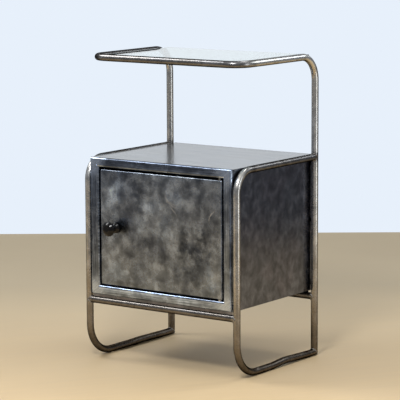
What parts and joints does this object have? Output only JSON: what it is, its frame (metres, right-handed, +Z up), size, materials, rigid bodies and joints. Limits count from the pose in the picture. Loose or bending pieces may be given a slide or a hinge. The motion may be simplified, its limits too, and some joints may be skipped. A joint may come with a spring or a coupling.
{
  "type": "bedside cabinet",
  "caption": "Ward bedside cabinet: bent steel tube frame carrying a sheet steel cabinet with a hinged door and turning latch, under a raised glass shelf.",
  "frame": {"origin": "on the floor at the centre of the overall box, knob included", "axes": "+X to the right for a person facing the door, the door faces -Y, +Z up"},
  "size_m": [0.48, 0.41, 0.79],
  "materials": {
    "tube_steel": "bare steel tube under clear lacquer, warm grey-brown, semi-gloss",
    "frame_steel": "bare steel, ground bright at the corners, clear lacquered",
    "panel_steel": "bare mottled sheet steel under clear lacquer",
    "door_steel": "bare mottled sheet steel under clear lacquer",
    "hardware_steel": "plain steel",
    "glass": "clear float glass with ground edges",
    "pad": "clear soft pad",
    "knob_black": "black moulded bakelite, polished"
  },
  "bodies": {
    "cabinet": {"shelf_hoop_tube": "tube_steel", "left_side_loop_tube": "tube_steel", "right_side_loop_tube": "tube_steel", "front_crossbar": "tube_steel", "rear_crossbar": "tube_steel", "glass_support_tabs": "tube_steel", "face_frame_top_rail": "frame_steel", "face_frame_bottom_rail": "frame_steel", "face_frame_left_stile": "frame_steel", "face_frame_right_stile": "frame_steel", "cabinet_top": "panel_steel", "left_side_panel": "panel_steel", "right_side_panel": "panel_steel", "back_panel": "panel_steel", "cabinet_floor": "panel_steel", "inner_shelf": "panel_steel", "left_shelf_strip": "panel_steel", "right_shelf_strip": "panel_steel", "door_stop_tabs": "hardware_steel", "latch_strike": "hardware_steel", "pivot_pin_upper": "hardware_steel", "pivot_pin_lower": "hardware_steel", "pivot_washer": "hardware_steel", "glass_shelf": "glass", "glass_pads": "pad"},
    "door": {"door_skin": "door_steel", "door_inner_pan": "door_steel", "door_pivot_block_upper": "hardware_steel", "door_pivot_block_lower": "hardware_steel", "spindle_bush": "hardware_steel"},
    "latch": {"knob": "knob_black", "knob_spindle": "hardware_steel", "latch_washer": "hardware_steel", "latch_tongue": "hardware_steel", "latch_nut": "hardware_steel"}
  },
  "joints": [
    {"name": "door_hinge", "type": "hinge", "parent": "cabinet", "child": "door", "pos_m": [0.183, -0.16, 0.3495], "axis": [0, 0, 1], "range_deg": [0, 120]},
    {"name": "latch_turn", "type": "hinge", "parent": "door", "child": "latch", "pos_m": [-0.137, -0.165, 0.3515], "axis": [0, -1, 0], "range_deg": [0, 90]}
  ]
}
